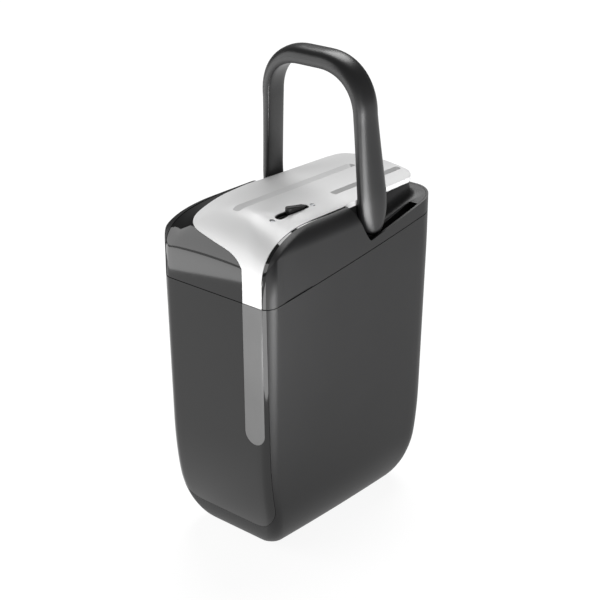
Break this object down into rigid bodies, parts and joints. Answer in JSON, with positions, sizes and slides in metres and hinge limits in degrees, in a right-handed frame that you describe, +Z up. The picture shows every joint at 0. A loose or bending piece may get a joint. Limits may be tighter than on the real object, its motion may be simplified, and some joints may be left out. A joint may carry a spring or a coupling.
{
  "type": "paper shredder",
  "caption": "Portable waste-bin paper shredder: matte bin with gloss front and level window, lift-off cutting head with white top, paper and disc slots, slide switch, folding carry handle.",
  "frame": {"origin": "on the floor under the middle of the body", "axes": "+Z up; +Y from the gloss front to the rear; +X across the short width, towards the side with the level window"},
  "size_m": [0.194, 0.341, 0.6373],
  "materials": {
    "matte_charcoal": "matte",
    "gloss_black": "gloss",
    "satin_white": "satin",
    "smoke_window": "smoked translucent",
    "handle_grey": "satin",
    "inner_black": "matte",
    "steel": "zinc plated",
    "cutter_steel": "oiled",
    "gear_nylon": "nylon",
    "rubber": "matte",
    "board_green": "lacquered",
    "lens_clear": "clear",
    "brass": "machined"
  },
  "bodies": {
    "bin": {"bin_shell": "matte_charcoal", "bin_front_panel": "gloss_black", "bin_window": "smoke_window", "bin_foot_front": "rubber", "bin_foot_rear": "rubber"},
    "head": {"top_cover": "satin_white", "head_front_cover": "gloss_black", "side_cover_right": "matte_charcoal", "side_cover_left": "matte_charcoal", "rear_cover": "matte_charcoal", "rear_deck": "matte_charcoal", "head_base": "inner_black", "base_screw_1": "steel", "base_screw_2": "steel", "base_screw_3": "steel", "base_screw_4": "steel", "indicator_lens_front": "lens_clear", "indicator_lens_rear": "lens_clear", "slider_track": "inner_black", "handle_pin_right": "steel", "handle_pin_left": "steel", "frame_plate_front": "steel", "frame_plate_rear": "steel", "disc_cutter_bracket": "steel", "bearing_block_front": "gear_nylon", "bearing_block_rear": "gear_nylon", "bearing_block_bracket": "gear_nylon", "gear_stud_1": "steel", "gear_stud_2": "steel", "tie_rod_left": "steel", "tie_rod_right": "steel", "stripper_comb_left": "steel", "stripper_comb_right": "steel", "motor": "steel", "paper_guide": "inner_black", "disc_guide": "inner_black", "start_switch": "inner_black", "mode_switch": "inner_black", "control_board": "board_green", "power_inlet": "inner_black", "interlock_bracket": "steel", "interlock_switch": "inner_black", "interlock_spring": "steel"},
    "handle": {"handle": "handle_grey"},
    "mode_slider": {"mode_slider": "inner_black"},
    "cutter_left": {"cutter_shaft_left": "cutter_steel", "cutter_gear_left": "gear_nylon"},
    "cutter_right": {"cutter_shaft_right": "cutter_steel", "cutter_gear_right": "gear_nylon"},
    "disc_cutter_inner": {"disc_cutter_inner": "cutter_steel", "disc_gear_inner": "gear_nylon"},
    "disc_cutter_outer": {"disc_cutter_outer": "cutter_steel", "disc_gear_outer": "gear_nylon"},
    "reduction_1": {"reduction_gear_1": "gear_nylon"},
    "reduction_2": {"reduction_gear_2": "gear_nylon"},
    "motor_rotor": {"motor_shaft": "steel", "motor_pinion": "brass"},
    "paper_lever": {"paper_sensor_lever": "inner_black"},
    "interlock_plunger": {"interlock_plunger": "inner_black"}
  },
  "joints": [
    {"name": "head_lift", "type": "slide", "parent": "bin", "child": "head", "axis": [0, 0, 1], "range_m": [0, 0.12]},
    {"name": "handle_fold", "type": "hinge", "parent": "head", "child": "handle", "pos_m": [0, 0.037, 0.429], "axis": [-1, 0, 0], "range_deg": [0, 82]},
    {"name": "mode_slide", "type": "slide", "parent": "head", "child": "mode_slider", "axis": [0, 1, 0], "range_m": [-0.02, 0.005]},
    {"name": "cutter_left_spin", "type": "hinge", "parent": "head", "child": "cutter_left", "pos_m": [-0.018, 0, 0.388], "axis": [0, 1, 0], "continuous": true},
    {"name": "cutter_right_spin", "type": "hinge", "parent": "head", "child": "cutter_right", "pos_m": [0.014, 0, 0.388], "axis": [0, 1, 0], "continuous": true},
    {"name": "disc_cutter_inner_spin", "type": "hinge", "parent": "head", "child": "disc_cutter_inner", "pos_m": [0.0335, 0, 0.3679], "axis": [0, 1, 0], "continuous": true},
    {"name": "disc_cutter_outer_spin", "type": "hinge", "parent": "head", "child": "disc_cutter_outer", "pos_m": [0.0575, 0, 0.3679], "axis": [0, 1, 0], "continuous": true},
    {"name": "reduction_2_spin", "type": "hinge", "parent": "head", "child": "reduction_2", "pos_m": [-0.02145, 0, 0.41175], "axis": [0, 1, 0], "continuous": true},
    {"name": "reduction_1_spin", "type": "hinge", "parent": "head", "child": "reduction_1", "pos_m": [-0.05, 0, 0.3973], "axis": [0, 1, 0], "continuous": true},
    {"name": "motor_spin", "type": "hinge", "parent": "head", "child": "motor_rotor", "pos_m": [-0.062, 0, 0.372], "axis": [0, 1, 0], "continuous": true},
    {"name": "paper_lever_swing", "type": "hinge", "parent": "head", "child": "paper_lever", "pos_m": [0.009, 0, 0.434], "axis": [0, -1, 0], "range_deg": [0, 25], "stiffness_Nm_per_rad": 0.004, "springref_deg": -8.59},
    {"name": "interlock_press", "type": "slide", "parent": "head", "child": "interlock_plunger", "axis": [0, 0, 1], "range_m": [0, 0.004], "stiffness_N_per_m": 300, "springref_m": -0.003, "deforming": ["interlock_spring"]}
  ],
  "couplings": [
    {"joint": "cutter_left_spin", "follows": "reduction_1_spin", "ratio": 0.16667},
    {"joint": "cutter_right_spin", "follows": "reduction_1_spin", "ratio": -0.16667},
    {"joint": "disc_cutter_inner_spin", "follows": "reduction_1_spin", "ratio": 0.22222},
    {"joint": "disc_cutter_outer_spin", "follows": "reduction_1_spin", "ratio": -0.22222},
    {"joint": "reduction_2_spin", "follows": "reduction_1_spin", "ratio": -0.33333},
    {"joint": "motor_spin", "follows": "reduction_1_spin", "ratio": -6}
  ]
}
